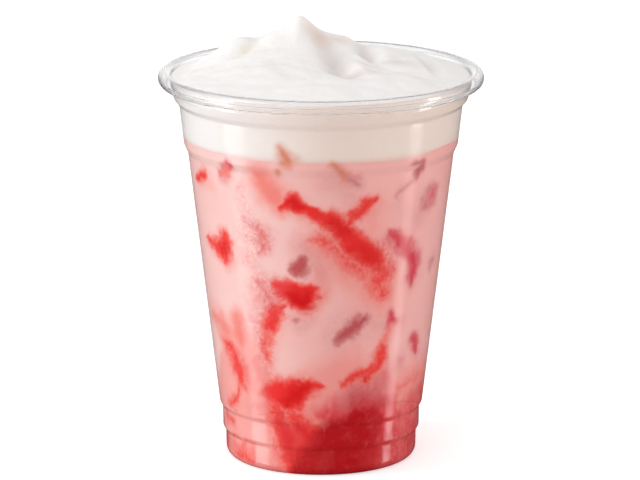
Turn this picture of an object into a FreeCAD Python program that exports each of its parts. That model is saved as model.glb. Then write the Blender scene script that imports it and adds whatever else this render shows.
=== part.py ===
"""Iced strawberry latte in a clear rolled-rim cup: four pieces that fit face to face.

The cup is one thin formed wall, revolved from its mid-wall line: a punted base, two ribs at
the foot, a long plain draft, a stacking shoulder, a neck, and a rim curl rolled outwards.
The drink fills it in three layers, each cut from the cup's own inside: strawberry puree,
strawberry milk and milk foam. Uneven free surfaces part the layers, and the foam stands up
above the rim as a spooned heap with a pulled peak.

Millimetres, +Z up. The origin is the centre of the ring that the cup stands on.
The cup's front is -Y.
"""
import FreeCAD
import Part
import math
import os

# ---- the cup: driving sizes -------------------------------------------------------------
cup_height = 119.0
rim_diameter = 98.0
foot_diameter = 57.6             # outside of the lowest band, at its corner
wall = 0.4

curl_diameter = 4.3              # outside of the roll at the rim
curl_end_turn = 15.0             # how far the roll runs on past its lowest point, degrees
flare_width = 0.9                # how far the roll's inner side stands out from the neck
flare_rise = 2.6                 # height of the flare between the two

neck_drop = 8.1                  # from the top of the rim down to the foot of the neck
neck_step = 1.5                  # how far the wall steps in under the neck
neck_step_height = 1.7
stack_height = 12.2              # of the stacking band under that step
stack_lean = 0.115               # sideways run of the stacking band, per mm of height
shoulder_step = 1.2              # how far the wall steps in again, under the stacking band
shoulder_step_height = 2.6

foot_corner = 3.0                # outside corner between the lowest band and the base
foot_band_top = 8.0
second_band_top = 15.6
foot_lean = 0.020                # sideways run of the foot's bands, per mm of height
rib_step = 0.85                  # how far the wall steps out at each rib of the foot
rib_rise = 1.4                   # height of the sloped part of each rib

foot_ring = 2.0                  # width of the ring that the cup stands on, to its corner
punt_depth = 2.6                 # how high the base stands over that ring
punt_slope = 1.6                 # sideways run of the punt's side
disc_border = 9.2                # from the punt's side in to the raised disc in its middle
disc_rise = 0.7
disc_slope = 1.1
soft_bend = 0.9                  # mid-wall radius of the bends at ribs and shoulders
tight_bend = 0.5                 # the same, at the neck

# ---- the drink: driving sizes -----------------------------------------------------------
puree_level = 16.8               # mean height of the puree's top
foam_depth = 20.2                # from the top of the rim down to the milk, on the whole
foam_edge_drop = 1.7             # how far the foam's edge lies under the top of the rim
heap_rise = 5.0                  # rise of the whole heap from its edge to its middle
heap_fullness = 2.2              # higher is flatter on top and steeper at the edge
heap_skirt = 9.0                 # width of the plain strip that the bumps fade out over
layer_spacing = 5.0              # between the points that a surface inside the cup follows
heap_spacing = 1.6               # the same, on the heap
grid_margin = 5.0                # how far a free surface runs on past the cup's inside

# Each bump is (x, y, rise, length, width, heading): its middle, its height, its reach along
# and across its heading, and the heading in degrees from +X. A dip has a negative rise.
puree_bumps = [
    (17.0, -19.0, 6.5, 9.0, 7.0, 30.0),
    (-9.0, -26.0, 4.0, 7.0, 5.0, 0.0),
    (-24.0, 4.0, 3.2, 9.0, 6.0, 90.0),
    (3.0, -28.0, -2.4, 5.0, 6.0, 0.0),
    (4.0, 26.0, 4.6, 9.0, 6.0, 10.0),
    (24.0, 12.0, -2.6, 8.0, 6.0, 60.0),
    (-14.0, 20.0, -2.8, 7.0, 6.0, 130.0),
]
milk_bumps = [
    (0.0, -38.0, 0.3, 20.0, 12.0, 0.0),
    (-34.0, -20.0, 0.6, 9.0, 9.0, 120.0),
    (34.0, -18.0, 1.2, 8.0, 8.0, 80.0),
    (24.0, -30.0, -0.7, 6.0, 6.0, 40.0),
    (10.0, 36.0, 1.3, 14.0, 10.0, 0.0),
    (-28.0, 24.0, -1.2, 10.0, 9.0, 130.0),
    (36.0, 16.0, -0.9, 8.0, 9.0, 60.0),
]
foam_bumps = [
    (-9.0, 4.0, 6.4, 11.5, 8.0, 10.0),       # the spooned mass that carries the peak
    (-6.0, 3.6, 5.7, 3.3, 2.8, 120.0),       # the pulled peak
    (-1.6, 5.5, 3.1, 4.4, 2.2, 155.0),       # its shoulder on the right
    (4.5, 8.8, 2.7, 7.0, 2.6, 168.0),        # the tail, trailing off to the right
    (-12.5, 4.5, 1.5, 4.0, 3.4, 30.0),       # its shoulder on the left
    (-26.0, 6.0, 4.7, 5.6, 7.0, 60.0),       # left lobe
    (-19.0, 3.0, -0.7, 6.0, 2.1, 110.0),     # crease between the left lobe and the peak
    (-22.5, -1.0, -1.8, 3.6, 2.2, 30.0),     # hollow in the left lobe
    (1.0, 0.5, -1.8, 4.5, 2.6, 150.0),       # hollow under the shoulder
    (6.4, -10.5, -3.8, 9.0, 4.0, 118.0),     # trough below the peak
    (3.4, -1.6, 1.3, 4.5, 1.5, 15.0),        # ridge at the trough's head
    (11.6, -11.0, 2.0, 7.5, 2.0, 118.0),     # ridge along the trough's right side
    (14.0, 1.8, -2.6, 6.0, 2.0, 118.0),      # crease between that ridge and the right lobe
    (24.2, 3.0, 4.2, 7.4, 6.6, 90.0),        # right lobe
    (23.6, 1.0, -1.8, 4.2, 3.6, 75.0),       # dish in the right lobe
    (31.8, 0.5, -2.0, 6.0, 1.7, 105.0),      # crease on the lobe's right side
    (24.5, -10.5, -1.6, 6.5, 1.7, 8.0),      # crease under the lobe
    (10.5, 7.0, 1.2, 5.0, 2.2, 150.0),       # swell behind the crease
    (20.0, -22.0, 0.9, 10.0, 5.0, 20.0),     # front right swell
    (-18.0, -14.0, 1.0, 13.0, 7.0, 150.0),   # front left swell
    (4.0, 23.0, 2.0, 19.0, 7.0, 175.0),      # rear swell
    (-13.0, 17.0, -1.8, 10.0, 2.8, 20.0),    # fold behind the peak
    (17.0, 22.0, -1.6, 8.0, 3.0, 150.0),     # fold behind the right lobe
]


# ---- profile lines with rounded corners -------------------------------------------------
def at(point):
    """A profile point (r, z) as a vector in the XZ plane."""
    return FreeCAD.Vector(point[0], 0.0, point[1])


def unit(a, b):
    """Unit vector from point a to point b of a profile."""
    length = math.hypot(b[0] - a[0], b[1] - a[1])
    return ((b[0] - a[0]) / length, (b[1] - a[1]) / length)


def beside(corners, distance):
    """Corners (r, z, radius) of the line that runs beside a line, distance to its left.

    A rounding keeps its centre, so its radius shrinks by the distance on a left turn and
    grows by it on a right turn.
    """
    ways = [unit(a, b) for a, b in zip(corners, corners[1:])]
    ways = ways[:1] + ways + ways[-1:]
    moved = []
    for (r, z, radius), before, after in zip(corners, ways, ways[1:]):
        cosine = before[0] * after[0] + before[1] * after[1]
        sine = before[0] * after[1] - before[1] * after[0]
        scale = distance / (1.0 + cosine)
        turn = (sine > 1e-9) - (sine < -1e-9)
        moved.append((r - (before[1] + after[1]) * scale,
                      z + (before[0] + after[0]) * scale,
                      radius - turn * distance))
    return moved


def add_straight(edges, a, b):
    """Adds the straight run from a to b, unless two roundings already meet there."""
    if math.hypot(b[0] - a[0], b[1] - a[1]) > 1e-6:
        edges.append(Part.makeLine(at(a), at(b)))


def rounded_line(corners):
    """Edges of the line through corners (r, z, radius), each one rounded to its radius."""
    edges = []
    here = corners[0]
    for previous, corner, following in zip(corners, corners[1:], corners[2:]):
        before = unit(previous, corner)
        after = unit(corner, following)
        cosine = before[0] * after[0] + before[1] * after[1]
        half_turn = math.acos(max(-1.0, min(1.0, cosine))) / 2.0
        reach = corner[2] * math.tan(half_turn)
        start = (corner[0] - before[0] * reach, corner[1] - before[1] * reach)
        end = (corner[0] + after[0] * reach, corner[1] + after[1] * reach)
        inward = unit(before, after)
        depth = corner[2] * (1.0 / math.cos(half_turn) - 1.0)
        middle = (corner[0] + inward[0] * depth, corner[1] + inward[1] * depth)
        add_straight(edges, here, start)
        edges.append(Part.Arc(at(start), at(middle), at(end)).toShape())
        here = end
    add_straight(edges, here, corners[-1])
    return edges


def revolved(edges):
    """The solid that a closed profile sweeps round the Z axis."""
    face = Part.Face(Part.Wire(edges))
    return face.revolve(FreeCAD.Vector(0, 0, 0), FreeCAD.Vector(0, 0, 1), 360)


# ---- the cup ----------------------------------------------------------------------------
def rim_place():
    """Centre (r, z) and mid-wall radius of the roll at the rim."""
    radius = (curl_diameter - wall) / 2.0
    return rim_diameter / 2.0 - curl_diameter / 2.0, cup_height - curl_diameter / 2.0, radius


def curl_corners():
    """The roll as the corners of a square round it, each rounded to half the square's side.

    The last corner only turns by the roll's end, past its lowest point.
    """
    centre_r, centre_z, radius = rim_place()
    end = math.radians(curl_end_turn)
    return [
        (centre_r - radius, centre_z + radius, radius),
        (centre_r + radius, centre_z + radius, radius),
        (centre_r + radius, centre_z - radius, radius),
        (centre_r - radius * math.tan(end / 2.0), centre_z - radius, radius),
        (centre_r - radius * math.sin(end), centre_z - radius * math.cos(end), 0.0),
    ]


def wall_corners():
    """Mid-wall line of the cup from the middle of its base to the rim, as (r, z, radius).

    The foot is set out upwards and outwards from the base's corner, and the neck, the
    stacking band and its shoulder downwards and inwards from the rim. The long wall between
    the foot and the shoulder takes the draft that joins them.
    """
    half = wall / 2.0
    centre_r, centre_z, radius = rim_place()

    foot_r = foot_diameter / 2.0 - half
    foot_top_r = foot_r + foot_lean * foot_band_top
    second_z = foot_band_top + rib_rise
    second_r = foot_top_r + rib_step
    second_top_r = second_r + foot_lean * (second_band_top - second_z)
    draft_z = second_band_top + rib_rise
    draft_r = second_top_r + rib_step

    base_z = punt_depth + half
    punt_foot_r = foot_r + half - foot_corner - foot_ring
    punt_r = punt_foot_r - punt_slope
    disc_foot_r = punt_r - disc_border

    neck_z = cup_height - neck_drop
    neck_r = centre_r - radius - flare_width
    stack_top_z = neck_z - neck_step_height
    stack_top_r = neck_r - neck_step
    stack_z = stack_top_z - stack_height
    stack_r = stack_top_r - stack_lean * stack_height
    shoulder_z = stack_z - shoulder_step_height
    shoulder_r = stack_r - shoulder_step
    return [
        (0.0, base_z + disc_rise, 0.0),
        (disc_foot_r - disc_slope, base_z + disc_rise, soft_bend),
        (disc_foot_r, base_z, soft_bend),
        (punt_r, base_z, soft_bend),
        (punt_foot_r, half, soft_bend),
        (foot_r, half, foot_corner - half),
        (foot_top_r, foot_band_top, soft_bend),
        (second_r, second_z, soft_bend),
        (second_top_r, second_band_top, soft_bend),
        (draft_r, draft_z, soft_bend),
        (shoulder_r, shoulder_z, soft_bend),
        (stack_r, stack_z, soft_bend),
        (stack_top_r, stack_top_z, tight_bend),
        (neck_r, neck_z, tight_bend),
        (centre_r - radius, neck_z + flare_rise, soft_bend),
    ] + curl_corners()


def make_cup():
    """The cup, between the lines half a wall inside and half a wall outside its middle."""
    corners = wall_corners()
    inside = beside(corners, wall / 2.0)
    outside = beside(corners, -wall / 2.0)
    edges = rounded_line(inside) + rounded_line(outside)
    tip = beside(corners[-2:], 0.0)[-1]
    way = unit(corners[-2], corners[-1])
    nose = (tip[0] + way[0] * wall / 2.0, tip[1] + way[1] * wall / 2.0)
    edges.append(Part.Arc(at(inside[-1]), at(nose), at(outside[-1])).toShape())
    add_straight(edges, inside[0], outside[0])
    return revolved(Part.__sortEdges__(edges))


# ---- the drink --------------------------------------------------------------------------
def inside_radius():
    """Radius of the cup's inside at the foam's edge, where the wall stands upright."""
    centre_r, centre_z, radius = rim_place()
    return centre_r - radius - wall / 2.0


def cup_filling():
    """All that lies inside the cup, and straight on up above its rim."""
    corners = wall_corners()
    upright = len(corners) - len(curl_corners())
    inside = beside(corners, wall / 2.0)[:upright]
    lid = 2.0 * cup_height
    inside.append((inside_radius(), lid, 0.0))
    edges = rounded_line(inside)
    add_straight(edges, inside[-1], (0.0, lid))
    add_straight(edges, (0.0, lid), inside[0])
    return revolved(edges)


def bump_sum(bumps, x, y):
    """Summed height of the bumps at (x, y), each falling off as a bell curve."""
    total = 0.0
    for middle_x, middle_y, rise, length, width, heading in bumps:
        c = math.cos(math.radians(heading))
        s = math.sin(math.radians(heading))
        along = ((x - middle_x) * c + (y - middle_y) * s) / length
        across = ((y - middle_y) * c - (x - middle_x) * s) / width
        total += rise * math.exp(-0.5 * (along * along + across * across))
    return total


def puree_top(x, y):
    """Height of the puree's lumpy top."""
    return puree_level + bump_sum(puree_bumps, x, y)


def milk_top(x, y):
    """Height of the line between milk and foam."""
    return cup_height - foam_depth + bump_sum(milk_bumps, x, y)


def foam_top(x, y):
    """Height of the foam: level along the cup's wall, and a heap with bumps inside that."""
    edge = inside_radius()
    radius = math.hypot(x, y)
    fade = max(0.0, min(1.0, (edge - radius) / heap_skirt))
    fade = fade * fade * (3.0 - 2.0 * fade)
    heap = heap_rise * (1.0 - min(1.0, radius / edge) ** heap_fullness)
    return cup_height - foam_edge_drop + heap + fade * bump_sum(foam_bumps, x, y)


def below(height, spacing):
    """A block under the smooth surface through a square grid of points (x, y, height)."""
    reach = inside_radius() + grid_margin
    steps = int(math.ceil(2.0 * reach / spacing))
    ticks = [-reach + 2.0 * reach * i / steps for i in range(steps + 1)]
    points = [[FreeCAD.Vector(x, y, height(x, y)) for y in ticks] for x in ticks]
    surface = Part.BSplineSurface()
    surface.interpolate(points)
    depth = 2.0 * cup_height
    return surface.toShape().extrude(FreeCAD.Vector(0, 0, -depth))


def make_drink():
    """The three layers from the bottom up: each is what the one above it leaves."""
    filling = cup_filling()
    under_puree = below(puree_top, layer_spacing)
    under_milk = below(milk_top, layer_spacing)
    under_foam = below(foam_top, heap_spacing)
    puree = filling.common(under_puree)
    milk = filling.common(under_milk).cut(under_puree)
    foam = filling.common(under_foam).cut(under_milk)
    return puree, milk, foam


def write(node, shape):
    """Writes one node's single solid to parts/node.step."""
    solid = shape.Solids[0]
    print(node, len(shape.Solids), "solid", round(solid.Volume / 1000.0, 2), "ml",
          "valid" if solid.isValid() else "NOT VALID")
    solid.exportStep("parts/" + node + ".step")


# ---- build ------------------------------------------------------------------------------
os.makedirs("parts", exist_ok=True)
write("cup", make_cup())
puree_layer, milk_layer, foam_layer = make_drink()
write("strawberry_puree", puree_layer)
write("strawberry_milk", milk_layer)
write("milk_foam", foam_layer)
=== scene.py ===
# %% [markdown]
# # A strawberry latte in a clear plastic cup
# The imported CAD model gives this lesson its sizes: a thin cup, the strawberry puree at its
# bottom, the pink milk over it and the white foam heaped on top. Here each of the four gets
# a finer skin, worked out with numpy from the same sizes, and a material of its own.
# Everything is in metres, in the frame of the CAD model, with the front towards -Y.

import bpy
import numpy as np
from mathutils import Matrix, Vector


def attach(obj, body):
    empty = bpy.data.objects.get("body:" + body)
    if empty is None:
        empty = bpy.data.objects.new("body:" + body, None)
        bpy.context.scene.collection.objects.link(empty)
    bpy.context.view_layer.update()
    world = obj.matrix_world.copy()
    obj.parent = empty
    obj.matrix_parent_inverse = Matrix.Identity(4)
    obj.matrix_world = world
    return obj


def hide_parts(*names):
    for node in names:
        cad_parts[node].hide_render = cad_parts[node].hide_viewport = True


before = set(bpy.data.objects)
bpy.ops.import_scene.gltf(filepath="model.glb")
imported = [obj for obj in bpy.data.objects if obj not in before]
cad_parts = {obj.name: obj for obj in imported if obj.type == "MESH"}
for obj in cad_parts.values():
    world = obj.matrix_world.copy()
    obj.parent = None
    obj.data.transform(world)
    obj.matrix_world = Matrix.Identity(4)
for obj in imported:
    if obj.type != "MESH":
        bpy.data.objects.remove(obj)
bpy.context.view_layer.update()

# %% [markdown]
# ## The camera
# A long lens from a metre and a half away keeps the rim's ellipse flat and the sides of the
# cup nearly straight, where a short lens close by would splay them. The camera looks down
# by about thirteen degrees, enough to see over the rim onto the foam.

# %% Place the camera
FOCAL_LENGTH, SENSOR_WIDTH = 286.2, 36.0
CAMERA_AT, CAMERA_AIM = (0.0, -1.5, 0.42), (-0.0003, 0.0, 0.0664)
lens = bpy.data.cameras.new("long_lens")
lens.lens, lens.sensor_width, lens.clip_end = FOCAL_LENGTH, SENSOR_WIDTH, 60.0
camera = bpy.data.objects.new("camera", lens)
camera.location = CAMERA_AT
camera.rotation_euler = (Vector(CAMERA_AIM) - camera.location).to_track_quat("-Z", "Y").to_euler()
bpy.context.collection.objects.link(camera)
bpy.context.scene.camera = camera
print("camera looks from", tuple(camera.location))

# %% [markdown]
# ## Small helpers for node trees
# A material is a tree of nodes, which could be joined by hand in the shader editor. Here
# short helpers add a node, set its sockets and join it up in one line, so the finishes
# further down read like recipes.


# %% Helpers for nodes
def new_tree(name):
    """An empty node tree for a new material, with its output node."""
    made = bpy.data.materials.new(name)
    made.use_nodes = True
    made.node_tree.nodes.clear()
    return made, made.node_tree, made.node_tree.nodes.new("ShaderNodeOutputMaterial")


def add(tree, kind, inputs=None, **settings):
    """A node of a kind. inputs holds numbers, colours or another node's socket by name."""
    node = tree.nodes.new(kind)
    for key, value in settings.items():
        setattr(node, key, value)
    for key, value in (inputs or {}).items():
        if isinstance(value, bpy.types.NodeSocket):
            tree.links.new(value, node.inputs[key])
        else:
            node.inputs[key].default_value = value
    return node


def maths(tree, operation, a, b=0.0, c=None, clamp=False):
    """The result of one Math node on two or three numbers or sockets."""
    values = {0: a, 1: b} if c is None else {0: a, 1: b, 2: c}
    return add(tree, "ShaderNodeMath", values, operation=operation, use_clamp=clamp).outputs[0]


def ramp(tree, value, low, high, to_low=0.0, to_high=1.0):
    """to_low up to where value is low, to_high from where it is high, and straight between."""
    span = {"From Min": low, "From Max": high, "To Min": to_low, "To Max": to_high}
    return add(tree, "ShaderNodeMapRange", {"Value": value, **span}).outputs["Result"]


def noise(tree, where, scale, detail, **more):
    """Soft noise from 0 to 1, with scale lumps to a metre and detail finer layers."""
    inputs = {"Vector": where, "Scale": scale, "Detail": detail}
    inputs.update({key.capitalize(): value for key, value in more.items()})
    return add(tree, "ShaderNodeTexNoise", inputs).outputs["Fac"]


def blend(tree, amount, a, b):
    """Colour a, passing into colour b as amount goes from 0 to 1."""
    node = add(tree, "ShaderNodeMix", data_type="RGBA", blend_type="MIX")
    for place, value in ((0, amount), (6, a), (7, b)):
        if isinstance(value, bpy.types.NodeSocket):
            tree.links.new(value, node.inputs[place])
        else:
            node.inputs[place].default_value = value
    return node.outputs[2]


def painted(tree, name):
    """The number that a mesh attribute holds at each point."""
    return add(tree, "ShaderNodeAttribute", attribute_name=name).outputs["Fac"]


def linear(red, green, blue):
    """A screen colour from 0 to 255 as the linear colour that a shader wants."""
    c = np.array([red, green, blue]) / 255
    c = np.where(c <= 0.04045, c / 12.92, ((c + 0.055) / 1.055) ** 2.4)
    return (*c.tolist(), 1.0)


def objects_own(tree):
    """The point's place in the piece's own metres."""
    return add(tree, "ShaderNodeTexCoord").outputs["Object"]


print("node helpers ready")

# %% [markdown]
# ## Light, backdrop and floor
# Drinks are lit from the sides with tall soft boxes, so that the wall of the cup carries a
# long soft glint on each side. The left one is wider and gives more light. The right one is
# narrower and brighter, for a sharper glint. The world is a plain grey for the rays that
# light the object and white for those that see it. What the drink mirrors or bends also has
# a dark floor and a dark band overhead, since all white would lie over the clear plastic as
# a veil.

# %% The world
PLAIN_LIGHT = 0.62
# heights of the sky as the sine of the elevation: where each change begins and ends
DARK_FLOOR, DARK_BAND, BAND_END = (-0.06, -0.16), (0.22, 0.5), (0.66, 0.74)
world = bpy.data.worlds.new("studio")
bpy.context.scene.world = world
world.use_nodes = True
sky = world.node_tree
sky.nodes.clear()
ray = add(sky, "ShaderNodeLightPath").outputs
direction = add(sky, "ShaderNodeTexCoord").outputs["Generated"]
up = add(sky, "ShaderNodeSeparateXYZ", {0: direction}).outputs["Z"]
dark = maths(sky, "SUBTRACT", ramp(sky, up, *DARK_BAND), ramp(sky, up, *BAND_END))
dark = maths(sky, "ADD", dark, ramp(sky, up, *DARK_FLOOR))
dark = maths(sky, "MULTIPLY", dark, maths(sky, "SUBTRACT", 1.0, ray["Is Camera Ray"]))
seen_colour = blend(sky, dark, (1, 1, 1, 1), (0.04, 0.04, 0.045, 1))
seen = add(sky, "ShaderNodeBackground", {"Color": seen_colour, "Strength": 1.0})
lit = add(sky, "ShaderNodeBackground", {"Color": (1, 0.99, 0.98, 1), "Strength": PLAIN_LIGHT})
shown = maths(sky, "MAXIMUM", ray["Is Camera Ray"], ray["Is Glossy Ray"])
shown = maths(sky, "MAXIMUM", shown, ray["Is Transmission Ray"])
both = add(sky, "ShaderNodeMixShader", {0: shown, 1: lit.outputs[0], 2: seen.outputs[0]})
add(sky, "ShaderNodeOutputWorld", {"Surface": both.outputs[0]})
print("world light", PLAIN_LIGHT)

# %% Soft boxes
# name, azimuth and elevation in degrees, distance, width and height in metres, radiance
LAMPS = [
    ("key_box", -77, 0, 1.3, 0.46, 1.5, 5.3),
    ("fill_box", 86, 0, 1.3, 0.26, 1.4, 7.0),
    ("top_box", -75, 50, 1.3, 0.6, 0.6, 2.3),
    ("front_box", -12, 40, 1.5, 0.9, 0.7, 1.5),
]
LIT_POINT = (0, 0, 0.06)


def soft_box(name, azimuth, elevation, distance, wide, tall, radiance):
    """A rectangular lamp that faces the cup. Its power is radiance x pi x area."""
    a, e = np.radians([azimuth, elevation])
    away = Vector((np.sin(a) * np.cos(e), -np.cos(a) * np.cos(e), np.sin(e)))
    lamp = bpy.data.lights.new(name, "AREA")
    lamp.shape, lamp.size, lamp.size_y = "RECTANGLE", wide, tall
    lamp.energy = radiance * np.pi * wide * tall
    made = bpy.data.objects.new(name, lamp)
    made.location = Vector(LIT_POINT) + away * distance
    made.rotation_euler = away.to_track_quat("Z", "Y").to_euler()
    made.visible_camera = False
    bpy.context.collection.objects.link(made)


for lamp_row in LAMPS:
    soft_box(*lamp_row)
print("lamps:", *[row[0] for row in LAMPS])

# %% [markdown]
# The floor is matt white and keeps the cup's shadow. A little glow, only for the rays that
# see it, brings the rest of it up to the white of the backdrop.

# %% The floor
FLOOR_WHITE, FLOOR_GLOW = 0.86, 0.46
bpy.ops.mesh.primitive_plane_add(size=16)
floor = bpy.context.object
floor.name = "floor"
floor.visible_glossy = False
white, tree, output = new_tree("white_floor")
matt = add(tree, "ShaderNodeBsdfDiffuse", {"Color": (FLOOR_WHITE, FLOOR_WHITE, FLOOR_WHITE, 1)})
ray = add(tree, "ShaderNodeLightPath").outputs
shown = maths(tree, "MAXIMUM", ray["Is Camera Ray"], ray["Is Transmission Ray"])
shown = maths(tree, "MAXIMUM", shown, ray["Is Glossy Ray"])
strength = maths(tree, "MULTIPLY", shown, FLOOR_GLOW)
glow = add(tree, "ShaderNodeEmission", {"Color": (1, 1, 1, 1), "Strength": strength})
floor_surface = add(tree, "ShaderNodeAddShader", {0: matt.outputs[0], 1: glow.outputs[0]})
tree.links.new(floor_surface.outputs[0], output.inputs["Surface"])
floor.data.materials.append(white)
print("floor laid")

# %% [markdown]
# ## Surfaces made of rings
# A cup and all that fills it are round, so each skin is a stack of rings: a grid whose one
# parameter runs along a profile and whose other runs round the axis. Blender's Spin tool
# turns a profile too, but here the radius and the height may change round each ring, as
# the uneven levels in a drink need. The profile starts and ends on the axis, where the ring
# becomes a single point and closes the skin.

# %% Helpers for skins
MM = 0.001
TURN = 2 * np.pi


def azimuths(count):
    """count even steps round the axis, from the front (-Y) towards +X, in radians."""
    return np.arange(count) * TURN / count


def ring_skin(name, radius, height, count):
    """A closed skin. radius and height are in mm, one row for each ring, and may change round
    the ring. Point (k, j) is at x = r sin(a), y = -r cos(a), z = height, a = 2 pi j / count.
    The first and the last ring have radius 0 and become single points, the poles."""
    shape = (len(radius), count)
    radius, height = (
        np.broadcast_to(np.asarray(v, float).reshape(len(v), -1), shape) for v in (radius, height)
    )
    a = azimuths(count)
    points = np.stack([radius * np.sin(a), -radius * np.cos(a), height], -1) * MM
    rows = points[1:-1]
    ring = np.arange(len(rows) * count).reshape(len(rows), count)
    nxt = np.roll(ring, -1, axis=1)
    quads = np.stack([ring[:-1], nxt[:-1], nxt[1:], ring[1:]], -1).reshape(-1, 4)
    start_pole, end_pole = np.full(count, ring.size), np.full(count, ring.size + 1)
    fans = np.concatenate([
        np.stack([start_pole, nxt[0], ring[0]], -1), np.stack([end_pole, ring[-1], nxt[-1]], -1),
    ])
    places = np.concatenate([rows.reshape(-1, 3), points[:1, 0], points[-1:, 0]])
    corners = np.concatenate([quads.ravel(), fans.ravel()])
    starts = np.concatenate([np.arange(len(quads)) * 4, quads.size + np.arange(len(fans)) * 3])
    mesh = bpy.data.meshes.new(name)
    mesh.vertices.add(len(places))
    mesh.vertices.foreach_set("co", places.ravel())
    mesh.loops.add(len(corners))
    mesh.loops.foreach_set("vertex_index", corners.astype(np.int32))
    mesh.polygons.add(len(starts))
    mesh.polygons.foreach_set("loop_start", starts.astype(np.int32))
    mesh.update(calc_edges=True)
    mesh.validate()
    mesh.shade_smooth()
    made = bpy.data.objects.new(name, mesh)
    bpy.context.collection.objects.link(made)
    print(f"{name}: {len(places)} points, {2 * len(quads) + len(fans)} triangles")
    return made


def places_of(piece):
    """The azimuth in degrees from -180 to 180, the height and the radius in mm of each point."""
    co = np.empty(len(piece.data.vertices) * 3)
    piece.data.vertices.foreach_get("co", co)
    x, y, z = co.reshape(-1, 3).T / MM
    return np.degrees(np.arctan2(x, -y)), z, np.hypot(x, y)


def paint(piece, name, values):
    """Stores one number for each point, for the material to read."""
    layer = piece.data.attributes.new(name, "FLOAT", "POINT")
    layer.data.foreach_set("value", np.asarray(values, np.float32))


def ease(t):
    """0 below 0, 1 above 1, and 3t^2 - 2t^3 between."""
    t = np.clip(t, 0, 1)
    return t * t * (3 - 2 * t)


def soft_noise(u, v, seed, around=256):
    """Random numbers from -1 to 1 on the whole-number points of the (u, v) plane, and between
    them the four nearest ones, blended with ease. The table repeats after `around` steps of u."""
    table = np.random.default_rng(seed).uniform(-1, 1, (256, 256))
    u, v = np.broadcast_arrays(u, v)
    i, j = np.floor(u).astype(int), np.floor(v).astype(int)
    s, t = ease(u - i), ease(v - j)
    a, b = table[i % around, j % 256], table[(i + 1) % around, j % 256]
    c, d = table[i % around, (j + 1) % 256], table[(i + 1) % around, (j + 1) % 256]
    return (a * (1 - s) + b * s) * (1 - t) + (c * (1 - s) + d * s) * t


print("skin helpers ready")

# %% [markdown]
# ## The cup
# A real one is drawn from one warm sheet of plastic 0.4 mm thick: a foot with a raised
# middle, two low ribs, a leaning wall, a stacking shoulder under the rim, and the rim rolled
# outwards. It could be a single face with Solidify, but light bends best through a wall that
# is exact in the tight bends. So the profile below follows the middle of the sheet as
# corners with a bend at each. Moved by half a wall to either side it gives the two faces,
# and a ring skin joins them at the lip.

# %% The profile of the sheet
# radius, height, radius of the bend, in mm
SHEET = [
    (0, 3.5, 0), (11.9, 3.5, 0.9), (13.0, 2.8, 0.9), (22.2, 2.8, 0.9), (23.8, 0.2, 0.9),
    (28.6, 0.2, 2.8), (28.76, 8.0, 0.9), (29.61, 9.4, 0.9), (29.734, 15.6, 0.9),
    (30.584, 17.0, 0.9), (39.897, 94.4, 0.9), (41.097, 97.0, 0.9), (42.5, 109.2, 0.5),
    (44.0, 110.9, 0.5), (44.9, 113.5, 0.9), (44.9, 118.8, 1.95), (48.8, 118.8, 1.95),
    (48.8, 114.9, 1.95), (46.593, 114.9, 1.95), (46.345, 114.966, 0),
]
WALL = 0.4
CUP_ROUND = 190      # points round the cup: with its profile this stays under 200,000 triangles
NEAR_BEND = 0.12     # a straight stretch has a point this close to each bend, in mm


def bent_line(corners, spacing=5.0, arc_steps=6, steps_per_radian=8):
    """Points along a line with rounded corners, and the heading at each, both as arrays.
    A bend of radius b that turns by w touches its two sides b tan(w/2) from the corner. Its
    points are centre - side x b x left(heading), as the heading goes evenly from one side's
    to the other's."""
    corners = np.array(corners, float)
    steps = np.diff(corners[:, :2], axis=0)
    headings = np.arctan2(steps[:, 1], steps[:, 0])
    spots, ways = [corners[:1, :2]], [headings[:1]]
    for k in range(1, len(corners) - 1):
        turn = (headings[k] - headings[k - 1] + np.pi) % TURN - np.pi
        side, bend = np.sign(turn), corners[k, 2]
        reach = bend * np.tan(abs(turn) / 2)
        way_in = np.array([np.cos(headings[k - 1]), np.sin(headings[k - 1])])
        start = corners[k, :2] - reach * way_in
        middle = start + side * bend * np.array([-way_in[1], way_in[0]])
        gap = np.hypot(*(start - spots[-1][-1]))
        if gap > 0.5:
            between = np.linspace(0, gap, max(2, int(gap / spacing) + 1))[1:-1]
            run = np.concatenate([[NEAR_BEND], between, [gap - NEAR_BEND]])
            spots.append(spots[-1][-1] + np.outer(run, way_in))
            ways.append(np.full(len(run), headings[k - 1]))
        count = arc_steps + int(abs(turn) * steps_per_radian)
        h = headings[k - 1] + turn * np.linspace(0, 1, count)
        spots.append(middle - side * bend * np.stack([-np.sin(h), np.cos(h)], -1))
        ways.append(h)
    spots.append(corners[-1:, :2])
    ways.append(headings[-1:])
    return np.concatenate(spots), np.concatenate(ways)


line, heading = bent_line(SHEET)
out_of_sheet = np.stack([np.sin(heading), -np.cos(heading)], -1)
outer = line + WALL / 2 * out_of_sheet
inner = line - WALL / 2 * out_of_sheet
outer[0, 0] = inner[0, 0] = 0
print(len(line), "points along the sheet")

# %% Join the two faces round the lip
lip_turn = np.linspace(0, np.pi, 7)[1:-1]
lip = line[-1] + WALL / 2 * (
    np.outer(np.cos(lip_turn), out_of_sheet[-1])
    + np.outer(np.sin(lip_turn), [np.cos(heading[-1]), np.sin(heading[-1])])
)
cup_line = np.concatenate([outer, lip, inner[::-1]])
cup = ring_skin("clear_cup", cup_line[:, 0], cup_line[:, 1], CUP_ROUND)
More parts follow.
